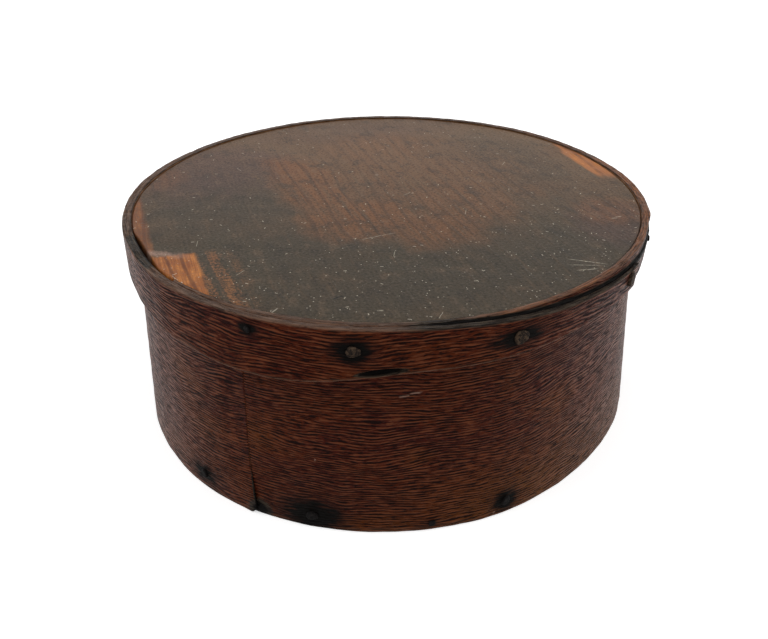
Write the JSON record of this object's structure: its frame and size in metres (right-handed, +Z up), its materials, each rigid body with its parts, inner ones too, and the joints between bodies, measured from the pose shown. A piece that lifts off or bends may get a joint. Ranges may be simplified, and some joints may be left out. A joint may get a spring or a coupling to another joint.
{
  "type": "oval bentwood box",
  "caption": "Oval lidded storage box of lapped, bent oak bands nailed round softwood boards; the lid lifts straight off.",
  "frame": {"origin": "middle of the box's underside, on the surface that it stands on", "axes": "+Z up, the way the lid lifts; +Y along the long axis, away from the end where both bands lap; +X to the right of a viewer who faces that end"},
  "size_m": [0.1898, 0.2219, 0.0717],
  "materials": {
    "side_oak": "dark red-brown oak with open pores, dull old varnish, iron stains at the nails",
    "rim_oak": "dark red-brown oak, worn pale along the upper edge",
    "lid_pine": "softwood under a grey-brown patina, worn to bare orange wood in places",
    "bottom_pine": "plain old softwood, unfinished",
    "iron_nail": "hand-forged iron, dull brown rust"
  },
  "bodies": {
    "box": {"bottom_board": "bottom_pine", "bottom_nail_01": "iron_nail", "bottom_nail_02": "iron_nail", "bottom_nail_03": "iron_nail", "bottom_nail_04": "iron_nail", "bottom_nail_05": "iron_nail", "bottom_nail_06": "iron_nail", "bottom_nail_07": "iron_nail", "bottom_nail_08": "iron_nail", "bottom_nail_09": "iron_nail", "bottom_nail_10": "iron_nail", "lap_tack_01": "iron_nail", "lap_tack_02": "iron_nail", "side_band": "side_oak"},
    "lid": {"lid_band": "rim_oak", "lid_board": "lid_pine", "lid_nail_01": "iron_nail", "lid_nail_02": "iron_nail", "lid_nail_03": "iron_nail", "lid_nail_04": "iron_nail", "lid_nail_05": "iron_nail", "lid_nail_06": "iron_nail", "lid_nail_07": "iron_nail", "lid_nail_08": "iron_nail", "lid_nail_09": "iron_nail"}
  },
  "joints": [
    {"name": "lid_lift", "type": "slide", "parent": "box", "child": "lid", "axis": [0, 0, 1], "range_m": [0, 0.12]}
  ]
}
